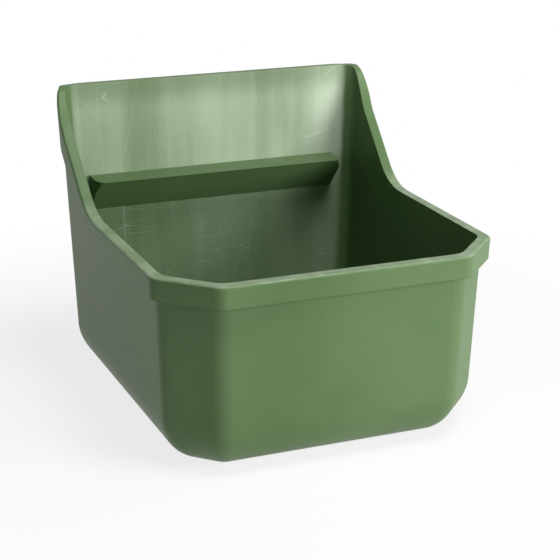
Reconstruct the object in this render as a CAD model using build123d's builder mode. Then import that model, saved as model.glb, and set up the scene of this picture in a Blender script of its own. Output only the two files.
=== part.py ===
from build123d import *
import math
import os

# A hanging horse feeder: a moulded trough on two steel straps that hook over a rail.
# Millimetres. X is across, Y runs from the front (-Y) to the rear, Z is up.
# The origin is under the middle of the assembly, on the plane of the trough's flat bottom.

# Trough, overall
trough_width = 380.0
trough_depth = 398.0
front_height = 211.0
back_height = 333.0
wall = 4.5

# Plan outline at the level of the front rim
corner_cut = 53.5
front_corner_radius = 26.0
rear_corner_radius = 14.0
cavity_rear_radius = 20.0
lip_corner_radius = 18.0
rear_lip_radius = 40.0

# Side outline of the rim: level at the front, a rise that steepens, level along the back.
# The rise is placed by distances from the front, and its knee by a height over the front rim
rise_start = 275.5
rise_knee = 353.0
rise_knee_height = 76.0
rise_end = 382.0
lower_bend_radius = 72.0
knee_bend_radius = 60.0
upper_bend_radius = 13.0

# Draft of the moulded walls, the round between walls and floor, and how far the round
# is cut off flat by the floor
draft = 2.2
bottom_radius = 54.0
floor_flat = 0.2

# Downturned lip
lip_overhang = 8.0
rear_lip_overhang = 6.0
lip_thickness = 3.5
lip_height = 23.5
lip_edge_radius = 2.5

# Fold across the back wall: a ridge inside, a channel outside. Its flat top is placed by a
# height over the front rim
ledge_rise = 15.0
fold_depth = 38.0
fold_height = 42.0
fold_half_length = 153.0
fold_nose_radius = 4.0
fold_end_radius = 14.0

# Rear ribs and bosses
rib_thickness = 3.0
rib_spacing = 22.0
rib_floor_height = 80.0
boss_diameter = 15.0
hanger_offset = 122.0

# Steel strap hangers. The rail seat is placed by its drop below the rear rim
strap_width = 30.0
strap_thickness = 5.0
strap_bend_radius = 5.0
throat = 50.0
rail_seat_drop = 28.0
rear_leg_length = 62.0
foot_reach = 34.0

# Screws and inserts. The screws are placed by their drop below the rail seat
screw_diameter = 6.0
screw_head_diameter = 12.0
screw_length = 11.0
insert_diameter = 8.0
insert_length = 7.0
upper_screw_drop = 16.0
lower_screw_drop = 56.0
socket_width = 4.0
socket_depth = 2.2

# Fits
seat_gap = 0.2
thread_gap = 0.1
hole_gap = 0.25
insert_gap = 0.05

os.makedirs("parts", exist_ok=True)

# Places that follow from the sizes above
half_width = trough_width / 2
assembly_depth = trough_depth + seat_gap + 2 * strap_thickness + throat
front_y = -assembly_depth / 2
back_y = front_y + trough_depth
beyond = 60.0
rear_face_y = back_y - rear_lip_overhang
inner_face_y = rear_face_y - wall
strap_face_y = back_y + seat_gap
ledge_height = front_height + ledge_rise
rail_seat_height = back_height - rail_seat_drop
hanger_places = {"left": -hanger_offset, "right": hanger_offset}
screw_heights = {
    "upper": rail_seat_height - upper_screw_drop,
    "lower": rail_seat_height - lower_screw_drop,
}


def plan_outline(side_inset, front_inset, back_inset):
    """Corners of the rim's plan outline, moved inwards by the three insets."""
    side = half_width - side_inset
    front = front_y + front_inset
    back = back_y - back_inset
    cut = corner_cut - (front_inset + side_inset) * (1 - math.sqrt(2) / 2)
    return [
        (-side + cut, front),
        (side - cut, front),
        (side, front + cut),
        (side, back),
        (-side, back),
        (-side, front + cut),
    ]


def upright(edge):
    """True for an edge that runs up the block, as its corners do."""
    return abs(edge.tangent_at(0.5).Z) > 0.9


def on_rim_edge(edge):
    """True for an edge that runs round the outside of the rim's top."""
    middle = edge.center()
    crosses = abs(middle.X) < 1 and front_y + lip_edge_radius < middle.Y < back_y - lip_edge_radius
    return middle.Z > front_height - 1 and not upright(edge) and not crosses


def drafted_block(insets, floor, floor_radius, front_radius, rear_radius):
    """Closed block of the trough's plan, drafted towards its floor, with rounded corners."""
    top = back_height + beyond
    spread = (top - front_height) * math.tan(math.radians(draft))
    points = plan_outline(*[inset - spread for inset in insets])
    with BuildPart() as block:
        with BuildSketch(Plane.XY.offset(top)):
            Polygon(*points, align=None)
        extrude(amount=floor - floor_flat - top, taper=draft)
        if floor_radius > 0:
            fillet(block.faces().sort_by(Axis.Z)[0].edges(), floor_radius)
        uprights = block.edges().filter_by(upright)
        fillet(uprights.filter_by(lambda edge: edge.center().Y > 0), rear_radius)
        uprights = block.edges().filter_by(upright)
        fillet(uprights.filter_by(lambda edge: edge.center().Y < 0), front_radius)
        split(bisect_by=Plane.XY.offset(floor), keep=Keep.TOP)
    return block.part


def under_rim(drop):
    """Everything under the rim's side outline, lowered by a distance square to the outline."""
    corners = [
        Vector(front_y - beyond, front_height),
        Vector(front_y + rise_start, front_height),
        Vector(front_y + rise_knee, front_height + rise_knee_height),
        Vector(front_y + rise_end, back_height),
        Vector(back_y + beyond, back_height),
    ]
    runs = [(end - start).normalized() for start, end in zip(corners, corners[1:])]
    downs = [Vector(run.Y, -run.X) for run in runs]
    lowered = [corners[0] + downs[0] * drop]
    for corner, before, after in zip(corners[1:], downs, downs[1:]):
        lowered.append(corner + (before + after) * (drop / (1 + before.dot(after))))
    lowered.append(corners[-1] + downs[-1] * drop)
    bends = [
        lower_bend_radius + drop,
        knee_bend_radius + drop,
        max(upper_bend_radius - drop, 1.0),
    ]
    with BuildPart() as under:
        with BuildSketch(Plane.YZ):
            with BuildLine():
                rim = FilletPolyline(*lowered, radius=bends)
                Polyline(rim @ 1, (back_y + beyond, -beyond), (front_y - beyond, -beyond), rim @ 0)
            make_face()
        extrude(amount=trough_width, both=True)
    return under.part


def fold(inset):
    """Wedge of the fold across the back wall, with its faces moved inwards by the inset."""
    half_length = fold_half_length - inset
    nose_y = inner_face_y - fold_depth
    reach = back_y + beyond - nose_y
    fall = reach * fold_height / fold_depth
    with BuildPart() as wedge:
        with BuildSketch(Plane.YZ) as section:
            with BuildLine():
                Polyline(
                    (nose_y, ledge_height),
                    (nose_y + reach, ledge_height),
                    (nose_y + reach, ledge_height - fall),
                    close=True,
                )
            make_face()
            fillet(section.vertices().sort_by(Axis.Y)[0], fold_nose_radius + wall)
            offset(amount=-inset, kind=Kind.INTERSECTION)
        extrude(amount=half_length, both=True)
        with BuildSketch() as plan:
            with Locations((0, nose_y + inset)):
                Rectangle(2 * half_length, reach, align=(Align.CENTER, Align.MIN))
            fillet(plan.vertices().group_by(Axis.Y)[0], fold_end_radius)
        extrude(amount=back_height, mode=Mode.INTERSECT)
    return wedge.part


# Solids that the trough is made from
outer_insets = (lip_overhang, lip_overhang, rear_lip_overhang)
cavity_insets = tuple(inset + wall for inset in outer_insets)
skirt_insets = (lip_thickness, lip_thickness, lip_thickness)
body_block = drafted_block(outer_insets, 0, bottom_radius, front_corner_radius, rear_corner_radius)
cavity_block = drafted_block(
    cavity_insets,
    wall,
    bottom_radius - wall,
    front_corner_radius - wall,
    cavity_rear_radius,
)
lip_block = drafted_block((0, 0, 0), 0, 0, lip_corner_radius, rear_lip_radius)
lip_hollow = drafted_block(
    skirt_insets,
    0,
    0,
    lip_corner_radius - lip_thickness,
    rear_lip_radius - lip_thickness,
)
rim_top = under_rim(0)
flange_bottom = under_rim(lip_thickness)
skirt_bottom = under_rim(lip_height)
ridge = fold(0)
channel = fold(wall)

# The lip: a flange outwards from the wall's top edge and a skirt down from it
with BuildPart() as lip_inside:
    add(lip_hollow)
    add(flange_bottom, mode=Mode.INTERSECT)
with BuildPart() as lip:
    add(lip_block)
    add(rim_top, mode=Mode.INTERSECT)
    fillet(lip.edges().filter_by(on_rim_edge), lip_edge_radius)
    add(lip_inside.part, mode=Mode.SUBTRACT)
    add(skirt_bottom, mode=Mode.SUBTRACT)

# What is hollow inside the walls, with the ridge of the fold left standing
with BuildPart() as hollow:
    add(cavity_block)
    add(ridge, mode=Mode.SUBTRACT)

rib_base_y = inner_face_y + wall / 2
rib_reach = back_y - rib_base_y

# The trough: walls and floor in one shell, with its lip, fold, rear ribs and blind bosses
with BuildPart() as trough:
    add(body_block)
    add(rim_top, mode=Mode.INTERSECT)
    add(channel, mode=Mode.SUBTRACT)
    add(lip.part)
    for place in hanger_places.values():
        for side in (-rib_spacing / 2, rib_spacing / 2):
            for low, high in (
                (rib_floor_height, ledge_height - fold_height - wall),
                (ledge_height, back_height - lip_thickness),
            ):
                with Locations((place + side, rib_base_y, low)):
                    Box(
                        rib_thickness,
                        rib_reach,
                        high - low,
                        align=(Align.CENTER, Align.MIN, Align.MIN),
                    )
        for height in screw_heights.values():
            with BuildSketch(Plane.XZ.offset(-back_y)):
                with Locations((place, height)):
                    Circle(boss_diameter / 2)
            extrude(amount=rib_reach)
    add(hollow.part, mode=Mode.SUBTRACT)
    for place in hanger_places.values():
        for height in screw_heights.values():
            with BuildSketch(Plane.XZ.offset(-back_y)):
                with Locations((place, height)):
                    Circle(insert_diameter / 2 + insert_gap)
            extrude(amount=insert_length + seat_gap, mode=Mode.SUBTRACT)
trough.part.label = "trough"
export_step(trough.part, "parts/trough.step")


# Centre line of a strap: foot in the channel, front leg, bridge over the rail, rear leg
half_strap = strap_thickness / 2
front_leg_y = strap_face_y + half_strap
rear_leg_y = front_leg_y + strap_thickness + throat
foot_z = ledge_height - wall - seat_gap - half_strap
bridge_z = rail_seat_height + half_strap
rear_leg_end_z = rail_seat_height - rear_leg_length

for hand, place in hanger_places.items():
    with BuildPart() as hanger:
        with BuildLine(Plane.YZ.offset(place)) as route:
            FilletPolyline(
                (front_leg_y - foot_reach, foot_z),
                (front_leg_y, foot_z),
                (front_leg_y, bridge_z),
                (rear_leg_y, bridge_z),
                (rear_leg_y, rear_leg_end_z),
                radius=strap_bend_radius + half_strap,
            )
        with BuildSketch(Plane(route.line @ 0, x_dir=(1, 0, 0), z_dir=route.line % 0)):
            Rectangle(strap_width, strap_thickness)
        sweep(path=route.line)
        ends = hanger.faces().filter_by(GeomType.PLANE)
        foot_end, leg_end = ends.sort_by(SortBy.AREA)[:2].sort_by(Axis.Y)
        fillet(foot_end.edges().filter_by(Axis.Z) + leg_end.edges().filter_by(Axis.Y), strap_thickness)
        for height in screw_heights.values():
            with Locations(Plane((place, strap_face_y + strap_thickness, height), z_dir=(0, 1, 0))):
                CounterSinkHole(
                    screw_diameter / 2 + hole_gap,
                    screw_head_diameter / 2 + hole_gap,
                    depth=strap_thickness,
                )
    hanger.part.label = f"hanger_{hand}"
    export_step(hanger.part, f"parts/hanger_{hand}.step")

head_depth = (screw_head_diameter - screw_diameter) / 2
head_face_y = strap_face_y + strap_thickness
for hand, place in hanger_places.items():
    for level, height in screw_heights.items():
        boss_plane = Plane((place, back_y, height), z_dir=(0, -1, 0))
        with BuildPart() as insert:
            with BuildSketch(boss_plane):
                Circle(insert_diameter / 2)
                Circle(screw_diameter / 2 + thread_gap, mode=Mode.SUBTRACT)
            extrude(amount=insert_length)
            rims = insert.edges().filter_by(GeomType.CIRCLE).group_by(Axis.Y)[-1]
            chamfer(rims.sort_by(SortBy.RADIUS)[0], thread_gap * 4)
        insert.part.label = f"insert_{hand}_{level}"
        export_step(insert.part, f"parts/insert_{hand}_{level}.step")

        head_plane = Plane((place, head_face_y, height), z_dir=(0, -1, 0))
        with BuildPart() as screw:
            with BuildSketch(head_plane):
                Circle(screw_diameter / 2)
            extrude(amount=screw_length)
            with BuildSketch(head_plane):
                Circle(screw_head_diameter / 2)
            with BuildSketch(head_plane.offset(head_depth)):
                Circle(screw_diameter / 2)
            loft()
            with BuildSketch(head_plane):
                RegularPolygon(socket_width / 2, 6, major_radius=False)
            extrude(amount=socket_depth, mode=Mode.SUBTRACT)
        screw.part.label = f"screw_{hand}_{level}"
        export_step(screw.part, f"parts/screw_{hand}_{level}.step")
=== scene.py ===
"""Dresses and lights a hanging horse feeder: a green moulded trough on two steel straps."""

import logging
import math
from dataclasses import dataclass, field
from enum import Enum

import bpy
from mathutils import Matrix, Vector

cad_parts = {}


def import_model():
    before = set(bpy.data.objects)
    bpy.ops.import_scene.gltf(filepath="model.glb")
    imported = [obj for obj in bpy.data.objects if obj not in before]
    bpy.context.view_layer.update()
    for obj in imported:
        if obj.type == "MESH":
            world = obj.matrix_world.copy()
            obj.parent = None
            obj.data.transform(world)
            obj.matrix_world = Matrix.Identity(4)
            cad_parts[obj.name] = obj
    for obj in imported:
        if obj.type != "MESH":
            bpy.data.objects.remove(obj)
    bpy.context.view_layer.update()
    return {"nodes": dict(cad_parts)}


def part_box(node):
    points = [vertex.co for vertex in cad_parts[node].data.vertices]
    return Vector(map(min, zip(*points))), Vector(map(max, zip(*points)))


LOG = logging.getLogger("feeder")

Colour = tuple[float, float, float]
Settings = dict[str, object]

# Lens and place of the photograph's camera, in millimetres and metres
LENS_MM = 103.2
SENSOR_MM = 36.0
CAMERA_PLACE = Vector((-0.6488, -1.5857, 0.7162))
CAMERA_TARGET = Vector((-0.0156, -0.0866, 0.1590))
CAMERA_ROLL_DEGREES = 0.5


class Axis(Enum):
    """The three outputs of a Separate XYZ node."""

    X = "X"
    Y = "Y"
    Z = "Z"


class Value:
    """One shader socket, on which the usual operators build Math nodes."""

    def __init__(self, tree: bpy.types.NodeTree, socket: bpy.types.NodeSocket) -> None:
        """Wraps a socket.

        Args:
            tree: the node tree that the socket belongs to.
            socket: an output socket.
        """
        self.tree = tree
        self.socket = socket

    def _math(self, operation: str, *values: "Value | float", clamp: bool = False) -> "Value":
        """Adds one Math node.

        Args:
            operation: the node's operation.
            values: its inputs in order, sockets or numbers.
            clamp: whether the result is held between 0 and 1.

        Returns:
            The node's result.
        """
        node = self.tree.nodes.new("ShaderNodeMath")
        node.operation = operation
        node.use_clamp = clamp
        for place, value in enumerate(values):
            if isinstance(value, Value):
                self.tree.links.new(value.socket, node.inputs[place])
            else:
                node.inputs[place].default_value = float(value)
        return Value(self.tree, node.outputs[0])

    def __add__(self, other: "Value | float") -> "Value":
        """Sum of this and another value."""
        return self._math("ADD", self, other)

    def __radd__(self, other: float) -> "Value":
        """Sum of a number and this value."""
        return self._math("ADD", other, self)

    def __sub__(self, other: "Value | float") -> "Value":
        """This value less another."""
        return self._math("SUBTRACT", self, other)

    def __rsub__(self, other: float) -> "Value":
        """A number less this value."""
        return self._math("SUBTRACT", other, self)

    def __mul__(self, other: "Value | float") -> "Value":
        """Product of this and another value."""
        return self._math("MULTIPLY", self, other)

    def __abs__(self) -> "Value":
        """Size of this value without its sign."""
        return self._math("ABSOLUTE", self)

    def clamp(self) -> "Value":
        """This value held between 0 and 1."""
        return self._math("ADD", self, 0.0, clamp=True)

    def power(self, exponent: float) -> "Value":
        """This value raised to a power."""
        return self._math("POWER", self, exponent)

    def ramp(self, low: float, high: float) -> "Value":
        """Rises smoothly from 0 at one value to 1 at another.

        Args:
            low: where the result is 0.
            high: where the result is 1; it may be under low.

        Returns:
            The smooth step.
        """
        node = self.tree.nodes.new("ShaderNodeMapRange")
        node.interpolation_type = "SMOOTHSTEP"
        self.tree.links.new(self.socket, node.inputs["Value"])
        start, end, first, last = (low, high, 0.0, 1.0) if low < high else (high, low, 1.0, 0.0)
        node.inputs["From Min"].default_value = start
        node.inputs["From Max"].default_value = end
        node.inputs["To Min"].default_value = first
        node.inputs["To Max"].default_value = last
        return Value(self.tree, node.outputs["Result"])


class Shader:
    """A material's node tree with short ways to add nodes to it."""

    def __init__(self, name: str) -> None:
        """Makes a material with one Principled shader.

        Args:
            name: the material's name.
        """
        self.material = bpy.data.materials.new(name)
        self.material.use_nodes = True
        self.tree = self.material.node_tree
        self.principled = self.tree.nodes["Principled BSDF"]
        self.output = self.tree.nodes["Material Output"]
        self.place = self.node("ShaderNodeTexCoord").outputs["Object"]

    def node(self, kind: str, settings: Settings | None = None, **inputs: object) -> bpy.types.Node:
        """Adds a node of any type.

        Args:
            kind: the node's type.
            settings: attributes to set before its sockets.
            inputs: values or links by socket name, with _ for a space.

        Returns:
            The node.
        """
        made = self.tree.nodes.new(kind)
        for key, value in (settings or {}).items():
            setattr(made, key, value)
        for key, value in inputs.items():
            self.feed(made.inputs[key.replace("_", " ")], value)
        return made

    def feed(self, socket: bpy.types.NodeSocket, value: object) -> None:
        """Gives a socket a link or a fixed value.

        Args:
            socket: the input socket.
            value: a Value, an output socket, a number or a tuple.
        """
        if isinstance(value, Value):
            self.tree.links.new(value.socket, socket)
        elif isinstance(value, bpy.types.NodeSocket):
            self.tree.links.new(value, socket)
        else:
            socket.default_value = value

    def value(self, socket: bpy.types.NodeSocket) -> Value:
        """Wraps an output socket."""
        return Value(self.tree, socket)

    def axis(self, which: Axis) -> Value:
        """One coordinate of the point, in metres."""
        split = self.node("ShaderNodeSeparateXYZ", Vector=self.place)
        return self.value(split.outputs[which.value])

    def facing(self, which: Axis) -> Value:
        """One component of the surface's own direction."""
        split = self.node(
            "ShaderNodeSeparateXYZ", Vector=self.node("ShaderNodeNewGeometry").outputs["Normal"]
        )
        return self.value(split.outputs[which.value])

    def stretched(self, scale: Colour) -> bpy.types.NodeSocket:
        """The point's coordinates, scaled apart along the three axes."""
        mapping = self.node("ShaderNodeMapping", Vector=self.place, Scale=scale)
        return mapping.outputs["Vector"]

    def noise(self, size: float, scale: Colour = (1.0, 1.0, 1.0), detail: float = 3.0) -> Value:
        """Soft noise.

        Args:
            size: how many waves it has in a metre.
            scale: stretch of the coordinates before that.
            detail: how many finer layers it has.

        Returns:
            The noise, mostly between 0.3 and 0.7.
        """
        made = self.node(
            "ShaderNodeTexNoise", Vector=self.stretched(scale), Scale=size, Detail=detail
        )
        return self.value(made.outputs["Fac"])

    def scratches(self, size: float, turn: Colour, width: float, spread: Colour) -> Value:
        """Thin straight marks in one direction.

        Args:
            size: how many cells it has in a metre.
            turn: rotation of the marks in degrees.
            width: share of a cell that a mark covers.
            spread: stretch of the coordinates, small along the marks.

        Returns:
            1 on a mark and 0 off it.
        """
        mapping = self.node(
            "ShaderNodeMapping",
            Vector=self.place,
            Rotation=tuple(math.radians(angle) for angle in turn),
            Scale=spread,
        )
        cells = self.node(
            "ShaderNodeTexVoronoi",
            {"feature": "DISTANCE_TO_EDGE"},
            Vector=mapping.outputs["Vector"],
            Scale=size,
        )
        return self.value(cells.outputs["Distance"]).ramp(width, width * 0.3)

    def mix(self, factor: Value | float, first: object, second: object) -> bpy.types.NodeSocket:
        """Mixes two colours.

        Args:
            factor: share of the second colour.
            first: a colour or a colour socket.
            second: a colour or a colour socket.

        Returns:
            The mixed colour.
        """
        made = self.node("ShaderNodeMix", {"data_type": "RGBA"})
        self.feed(made.inputs[0], factor)
        for socket, colour in ((made.inputs[6], first), (made.inputs[7], second)):
            self.feed(socket, (*colour, 1.0) if isinstance(colour, tuple) else colour)
        return made.outputs[2]

    def bump(self, height: Value, depth: float, rounded: float = 0.0) -> None:
        """Gives the surface a fine relief.

        Args:
            height: the relief between 0 and 1.
            depth: its full depth in metres.
            rounded: radius in metres that sharp edges are softened by.
        """
        bump = self.node("ShaderNodeBump", Height=height, Distance=depth, Strength=1.0)
        if rounded > 0:
            soft = self.node("ShaderNodeBevel", {"samples": 6}, Radius=rounded)
            self.feed(bump.inputs["Normal"], soft.outputs["Normal"])
        self.feed(self.principled.inputs["Normal"], bump.outputs["Normal"])


@dataclass(frozen=True)
class MouldedGreen:
    """Green moulded plastic: satin outside, scuffed and glossy on the inside of the back wall, with
    painted light in its colour: a pale painted reflection on the back wall, a painted highlight on
    the front rim and painted shade on the side walls.

    The pairs are heights, or a place across, in metres between which a tone comes in.

    Attributes:
        right_strip: place across of the painted highlight strip at the right of the back wall.
        under_rim: height at which the back wall's scuffs and painted reflection fade into painted
            shade under the rear rim.
        over_fold: height from which the scuffs and painted reflection are at full strength; below
            it painted shade dims them.
        foot_light: height under which the side walls are no longer shaded.
        rim_band: heights at which the painted highlight on the front rim starts, is full, fades and
            ends.
        relief_depth: depth of the fine relief.
        edge_round: radius that sharp edges are softened by.
    """

    green: Colour = (0.098, 0.166, 0.067)
    faded: Colour = (0.118, 0.190, 0.084)
    deep: Colour = (0.072, 0.130, 0.048)
    # Pale green of scratches and scuffs, also laid on as painted reflection on the back wall and
    # painted highlight on the front rim.
    pale_scuff_and_sheen: Colour = (0.620, 0.720, 0.560)
    shaded: Colour = (0.040, 0.096, 0.020)
    satin: float = 0.42
    polish: float = 0.22
    gloss: float = 0.16
    right_strip: tuple[float, float] = (0.10, 0.15)
    under_rim: tuple[float, float] = (0.295, 0.328)
    over_fold: tuple[float, float] = (0.185, 0.235)
    foot_light: tuple[float, float] = (0.100, 0.020)
    rim_band: tuple[float, float, float, float] = (0.190, 0.205, 0.214, 0.228)
    relief_depth: float = 0.0016
    edge_round: float = 0.0007

    def make(self, trough: "Trough") -> bpy.types.Material:
        """Builds the material.

        Args:
            trough: gives the places of the walls.

        Returns:
            The finished material.
        """
        shader = Shader("moulded_green")
        x, y, z = (shader.axis(axis) for axis in Axis)
        cloud = shader.noise(5.0, detail=4.0)
        streak = shader.noise(9.0, (2.6, 1.0, 0.22), 5.0)
        grain = shader.noise(900.0, detail=2.0)
        colour = shader.mix(cloud.ramp(0.35, 0.65), self.deep, self.faded)
        colour = shader.mix(0.5, colour, self.green)

        back = self.back_wall(shader, trough)
        # Pale haze on the inner back wall: partly scuffing, mostly painted reflection, brighter to
        # the right with a painted highlight strip at the right end; painted shade fades it under
        # the rear rim and below the fold.
        sheen = 0.16 + x.ramp(-0.17, 0.05) * 0.16 + x.ramp(*self.right_strip) * 0.30
        sheen = sheen + streak.ramp(0.36, 0.68) * 0.18 + cloud.ramp(0.38, 0.62) * 0.10
        under = 1.0 - z.ramp(*self.under_rim) * 0.55
        shade = under * (0.30 + z.ramp(*self.over_fold) * 0.70)
        scuff_and_painted_sheen = sheen * shade * back
        nicks = shader.scratches(38.0, (0.0, 38.0, 0.0), 0.012, (0.35, 1.0, 2.2))
        lines = shader.scratches(24.0, (0.0, -7.0, 0.0), 0.008, (2.2, 1.0, 0.25))
        marks = ((nicks * shader.noise(14.0).ramp(0.56, 0.66)) + lines * 0.3).clamp() * back
        colour = shader.mix(scuff_and_painted_sheen.clamp(), colour, self.pale_scuff_and_sheen)
        colour = shader.mix(marks * 0.35, colour, self.pale_scuff_and_sheen)
        # Painted highlight along the top of the front rim, broken up by noise.
        painted_rim_highlight = self.rim_edge(shader) * (0.14 + shader.noise(60.0).ramp(0.35, 0.65) * 0.14)
        colour = shader.mix(painted_rim_highlight, colour, self.pale_scuff_and_sheen)
        flank = abs(shader.facing(Axis.X)).ramp(0.80, 0.96)
        colour = shader.mix(flank * (1.0 - z.ramp(*self.foot_light)) * 0.50, colour, self.shaded)
        shader.feed(shader.principled.inputs["Base Color"], colour)

        rough = self.satin + (cloud - 0.5) * 0.10 + (grain - 0.5) * 0.06
        inner = self.polish + streak.ramp(0.35, 0.70) * 0.16 + marks * 0.10
        roughness = rough * (1.0 - back) + inner * back
        shader.feed(shader.principled.inputs["Roughness"], roughness)
        shader.principled.inputs["IOR"].default_value = 1.50
        shader.principled.inputs["Specular IOR Level"].default_value = self.gloss
        ripple = shader.noise(7.0, (2.4, 1.0, 0.30), 1.0) * 0.93 * back + grain * 0.012
        shader.bump(ripple - marks * 0.02, self.relief_depth, self.edge_round)
        return shader.material

    def rim_edge(self, shader: Shader) -> Value:
        """Mask of the upper face of the level front rim.

        Args:
            shader: the material's shader.

        Returns:
            1 where the surface faces up at that height, and 0 elsewhere.
        """
        z = shader.axis(Axis.Z)
        upward = shader.facing(Axis.Z).ramp(0.45, 0.80)
        start, full, fade, end = self.rim_band
        return z.ramp(start, full) * z.ramp(end, fade) * upward

    def back_wall(self, shader: Shader, trough: "Trough") -> Value:
        """Mask of the inside of the back wall.

        Args:
            shader: the material's shader.
            trough: gives the places of the walls.

        Returns:
            1 on the inner back wall and 0 elsewhere.
        """
        deep = shader.axis(Axis.Y).ramp(trough.back_inside - 0.020, trough.back_inside - 0.008)
        forward = shader.facing(Axis.Y).ramp(-0.80, -0.97)
        return deep * forward


@dataclass(frozen=True)
class Galvanised:
    """Zinc-coated steel with a faint spangle."""

    zinc: Colour = (0.50, 0.51, 0.52)
    dull: Colour = (0.34, 0.35, 0.36)
    name: str = "galvanised_steel"
    cells: float = 140.0

    def make(self) -> bpy.types.Material:
        """Builds the material."""
        shader = Shader(self.name)
        spangle = shader.node("ShaderNodeTexVoronoi", Vector=shader.place, Scale=self.cells)
        tone = shader.value(spangle.outputs["Color"])
        cloud = shader.noise(30.0)
        colour = shader.mix(tone * 0.5 + cloud * 0.5, self.dull, self.zinc)
        shader.feed(shader.principled.inputs["Base Color"], colour)
        shader.feed(shader.principled.inputs["Roughness"], 0.34 + tone * 0.16)
        shader.principled.inputs["Metallic"].default_value = 1.0
        shader.bump(shader.noise(400.0), 0.00012, 0.0005)
        return shader.material


@dataclass(frozen=True)
class Brass:
    """Turned brass of the threaded inserts."""

    brass: Colour = (0.62, 0.45, 0.20)
    tarnish: Colour = (0.36, 0.25, 0.11)

    def make(self) -> bpy.types.Material:
        """Builds the material."""
        shader = Shader("turned_brass")
        cloud = shader.noise(260.0)
        colour = shader.mix(cloud.ramp(0.4, 0.7), self.brass, self.tarnish)
        shader.feed(shader.principled.inputs["Base Color"], colour)
        shader.feed(shader.principled.inputs["Roughness"], 0.28 + cloud * 0.2)
        shader.principled.inputs["Metallic"].default_value = 1.0
        shader.bump(shader.noise(1200.0, (1.0, 8.0, 1.0)), 0.00006, 0.0002)
        return shader.material


@dataclass
class Trough:
    """The moulded trough, kept as the CAD node and given its finish."""

    node: bpy.types.Object
    wall: float = 0.0045
    rear_lip: float = 0.0060
    back_lean: float = 0.0045
    finish: MouldedGreen = field(default_factory=MouldedGreen)

    @property
    def back_inside(self) -> float:
        """Y of the back wall's inner face at its foremost."""
        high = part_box("trough")[1]
        return high[1] - 2 * self.back_lean - self.rear_lip - self.wall

    def dress(self) -> None:
        """Gives the node its material."""
        put_on(self.node, self.finish.make(self))
        LOG.info("trough dressed")


@dataclass
class Hangers:
    """The steel straps with their screws and inserts."""

    nodes: dict[str, bpy.types.Object]

    def dress(self) -> None:
        """Gives each node its material."""
        strap = Galvanised().make()
        screw = Galvanised(zinc=(0.56, 0.57, 0.58), name="zinc_plated_screw", cells=500.0).make()
        brass = Brass().make()
        for name, node in self.nodes.items():
            if name.startswith("hanger"):
                put_on(node, strap)
            elif name.startswith("screw"):
                put_on(node, screw)
            elif name.startswith("insert"):
                put_on(node, brass)
            else:
                continue
            LOG.info("%s dressed", name)


def put_on(piece: bpy.types.Object, material: bpy.types.Material) -> None:
    """Puts one material in all of a piece's slots.

    Args:
        piece: the object.
        material: its new material.
    """
    if not piece.material_slots:
        piece.data.materials.append(material)
    for slot in piece.material_slots:
        slot.material = material


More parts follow.
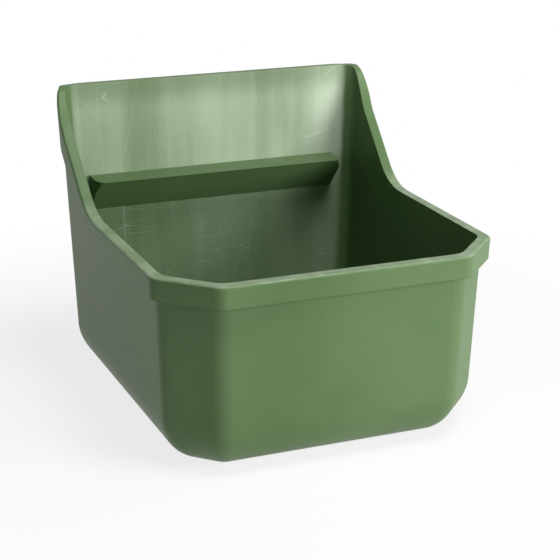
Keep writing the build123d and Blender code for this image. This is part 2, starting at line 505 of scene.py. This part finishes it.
@dataclass
class Studio:
    """Pale floor, soft lamps, a light surround and the photograph's camera."""

    floor_size: float = 12.0
    centre: Vector = field(default_factory=lambda: Vector((0.0, 0.0, 0.15)))

    def floor(self) -> None:
        """Makes the white floor, which keeps the object's shadow."""
        bpy.ops.object.select_all(action="DESELECT")
        bpy.ops.mesh.primitive_plane_add(size=self.floor_size, location=(0.0, 0.0, -0.0005))
        floor = bpy.context.active_object
        floor.name = "floor"
        bpy.ops.object.transform_apply(location=True, rotation=False, scale=False)
        shader = Shader("white_floor")
        path = shader.node("ShaderNodeLightPath")
        diffuse = shader.node("ShaderNodeBsdfDiffuse", Color=(0.84, 0.84, 0.84, 1.0))
        glow = shader.node("ShaderNodeEmission", Color=(1.0, 1.0, 1.0, 1.0), Strength=1.0)
        seen = shader.value(path.outputs["Is Camera Ray"])
        mirrored = shader.value(path.outputs["Is Glossy Ray"])
        through = shader.value(path.outputs["Is Transmission Ray"])
        mixed = shader.node("ShaderNodeMixShader")
        x, y = shader.axis(Axis.X), shader.axis(Axis.Y)
        away = (x * x + y * y).power(0.5).ramp(0.28, 0.75)
        shader.feed(mixed.inputs[0], (seen + mirrored + through).clamp() * (0.80 + away * 0.20))
        shader.feed(mixed.inputs[1], diffuse.outputs[0])
        shader.feed(mixed.inputs[2], glow.outputs[0])
        shader.feed(shader.output.inputs["Surface"], mixed.outputs[0])
        put_on(floor, shader.material)

    def surround(self) -> None:
        """Makes a surround that is pale low down and dim overhead, and white to the camera."""
        world = bpy.data.worlds.new("surround")
        world.use_nodes = True
        bpy.context.scene.world = world
        tree = world.node_tree
        tree.nodes.clear()
        output = tree.nodes.new("ShaderNodeOutputWorld")
        back = tree.nodes.new("ShaderNodeBackground")
        white = tree.nodes.new("ShaderNodeBackground")
        white.inputs["Strength"].default_value = 1.0
        coords = tree.nodes.new("ShaderNodeTexCoord")
        split = tree.nodes.new("ShaderNodeSeparateXYZ")
        tree.links.new(coords.outputs["Generated"], split.inputs[0])
        height = Value(tree, split.outputs["Z"])
        tree.links.new((height.ramp(0.75, 0.05) * 0.22 + 0.08).socket, back.inputs["Strength"])
        path = tree.nodes.new("ShaderNodeLightPath")
        mixed = tree.nodes.new("ShaderNodeMixShader")
        seen, mirrored, through = (
            Value(tree, path.outputs[ray])
            for ray in ("Is Camera Ray", "Is Glossy Ray", "Is Transmission Ray")
        )
        tree.links.new((seen + mirrored + through).clamp().socket, mixed.inputs[0])
        tree.links.new(back.outputs[0], mixed.inputs[1])
        tree.links.new(white.outputs[0], mixed.inputs[2])
        tree.links.new(mixed.outputs[0], output.inputs["Surface"])

    def lamp(self, name: str, place: Vector, size: tuple[float, float], watts: float) -> None:
        """Makes one soft rectangular lamp that points at the object.

        Args:
            name: the lamp's name.
            place: where it stands, in metres.
            size: its width and height.
            watts: its power.
        """
        data = bpy.data.lights.new(name, "AREA")
        data.shape = "RECTANGLE"
        data.size, data.size_y = size
        data.energy = watts
        lamp = bpy.data.objects.new(name, data)
        lamp.location = place
        lamp.rotation_euler = (self.centre - place).to_track_quat("-Z", "Y").to_euler()
        bpy.context.scene.collection.objects.link(lamp)

    def camera(self) -> None:
        """Makes the camera at the photograph's place."""
        data = bpy.data.cameras.new("camera")
        data.lens = LENS_MM
        data.sensor_width = SENSOR_MM
        camera = bpy.data.objects.new("camera", data)
        look = (CAMERA_TARGET - CAMERA_PLACE).to_track_quat("-Z", "Y")
        camera.rotation_euler = look.to_euler()
        camera.rotation_euler.rotate_axis("Z", math.radians(CAMERA_ROLL_DEGREES))
        camera.location = CAMERA_PLACE
        bpy.context.scene.collection.objects.link(camera)
        bpy.context.scene.camera = camera

    def build(self) -> None:
        """Makes the whole studio."""
        self.floor()
        self.surround()
        self.lamp("right_panel", Vector((1.45, -1.68, 0.70)), (1.1, 1.0), 51.0)
        self.lamp("left_panel", Vector((-2.0, 0.90, 0.30)), (1.2, 0.6), 3.0)
        self.lamp("overhead_panel", Vector((0.20, -0.60, 1.90)), (0.7, 0.7), 24.0)
        self.camera()
        view = bpy.context.scene.view_settings
        view.view_transform = "Standard"
        LOG.info("studio built")


def main() -> None:
    """Loads the frame, dresses the pieces and builds the studio."""
    logging.basicConfig(level=logging.INFO, format="%(name)s: %(message)s")
    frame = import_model()
    bpy.ops.object.select_all(action="DESELECT")
    Trough(frame["nodes"]["trough"]).dress()
    Hangers(frame["nodes"]).dress()
    Studio().build()


if __name__ == "__main__":
    main()
